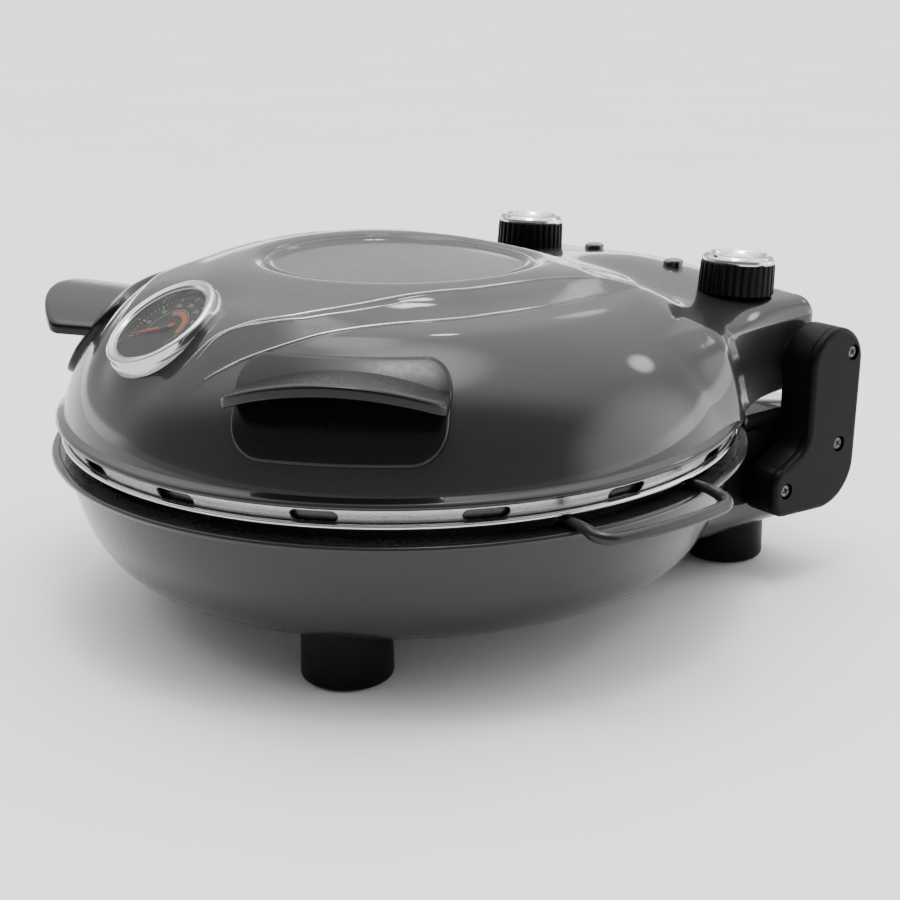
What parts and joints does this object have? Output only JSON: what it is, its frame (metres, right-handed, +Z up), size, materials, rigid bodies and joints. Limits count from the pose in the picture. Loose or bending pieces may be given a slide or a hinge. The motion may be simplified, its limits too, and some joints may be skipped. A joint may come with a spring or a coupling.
{
  "type": "electric pizza maker",
  "caption": "Round clamshell pizza cooker with a domed lid on rear hinge towers, a lid thermometer, two grips, two control knobs and a stone in a tray with wire handles.",
  "frame": {"origin": "on the table, under the middle of the whole cooker's outline", "axes": "+Z up, the front of the cooker faces -Y, the user's right is +X; the lid hinge runs along X at the back"},
  "size_m": [0.386, 0.3719, 0.1699],
  "materials": {
    "gloss_paint": "smooth mid-grey gloss coat",
    "black_steel": "black enamel",
    "black_wire": "black coated wire",
    "black_plastic": "fine matt moulded texture",
    "handle_plastic": "satin black, heat proof",
    "rubber": "matt",
    "screw_steel": "plated",
    "pin_steel": "turned",
    "sheet_steel": "bright rolled sheet",
    "tray_aluminium": "pressed sheet",
    "heater_sheath": "heat-darkened tube",
    "stone": "fine porous fireclay",
    "chrome": "polished",
    "dial": "matt dark dial with pale marks",
    "glass": "clear",
    "needle": "matt orange",
    "control_plastic": "heat-proof moulding",
    "lens": "dark clear lens",
    "wiring": "silicone sleeve"
  },
  "bodies": {
    "base": {"base_shell": "gloss_paint", "bottom_plate": "black_steel", "bottom_screws": "screw_steel", "base_liner": "black_steel", "lower_heater": "heater_sheath", "lower_heater_clips": "sheet_steel", "stone_tray": "tray_aluminium", "tray_handle_left": "black_wire", "tray_handle_right": "black_wire", "pizza_stone": "stone", "foot_front_left": "black_plastic", "foot_front_right": "black_plastic", "foot_rear_left": "black_plastic", "foot_rear_right": "black_plastic", "foot_pads": "rubber", "foot_screws": "screw_steel", "hinge_bracket_left": "black_steel", "hinge_bracket_right": "black_steel", "hinge_arm_left": "black_plastic", "hinge_arm_right": "black_plastic", "hinge_cover_left": "black_plastic", "hinge_cover_right": "black_plastic", "hinge_screws_left": "screw_steel", "hinge_screws_right": "screw_steel", "hinge_pin_left": "pin_steel", "hinge_pin_right": "pin_steel", "cord_gland": "black_plastic", "terminal_block": "control_plastic", "base_wiring": "wiring"},
    "lid": {"lid_shell": "gloss_paint", "lid_reflector": "sheet_steel", "reflector_screws": "screw_steel", "vent_band": "sheet_steel", "reflector_ring": "chrome", "upper_heater": "heater_sheath", "upper_heater_clips": "sheet_steel", "control_floor": "black_steel", "pivot_bracket_left": "pin_steel", "pivot_bracket_right": "pin_steel", "lid_handle_left": "handle_plastic", "lid_handle_right": "handle_plastic", "handle_screws": "screw_steel", "gauge_case": "pin_steel", "gauge_bezel": "chrome", "gauge_dial": "dial", "gauge_glass": "glass", "gauge_nut": "pin_steel", "thermostat_body": "control_plastic", "timer_body": "control_plastic", "indicator_lamps": "lens", "thermal_fuse": "sheet_steel", "lid_wiring": "wiring"},
    "gauge_needle": {"gauge_needle": "needle"},
    "thermostat_knob": {"thermostat_knob": "black_plastic", "thermostat_cap": "chrome", "thermostat_shaft": "pin_steel"},
    "timer_knob": {"timer_knob": "black_plastic", "timer_cap": "chrome", "timer_shaft": "pin_steel"}
  },
  "joints": [
    {"name": "lid_hinge", "type": "hinge", "parent": "base", "child": "lid", "pos_m": [0, 0.167, 0.112], "axis": [-1, 0, 0], "range_deg": [0, 100]},
    {"name": "gauge_turn", "type": "hinge", "parent": "lid", "child": "gauge_needle", "pos_m": [0, -0.1436, 0.1553], "axis": [0, 0.5344, -0.8453], "range_deg": [0, 240]},
    {"name": "thermostat_turn", "type": "hinge", "parent": "lid", "child": "thermostat_knob", "pos_m": [0.0827, 0.1433, 0.144], "axis": [0, -0.0611, -0.9981], "range_deg": [0, 270]},
    {"name": "timer_turn", "type": "hinge", "parent": "lid", "child": "timer_knob", "pos_m": [-0.0827, 0.1433, 0.144], "axis": [0, -0.0611, -0.9981], "range_deg": [0, 300]}
  ]
}
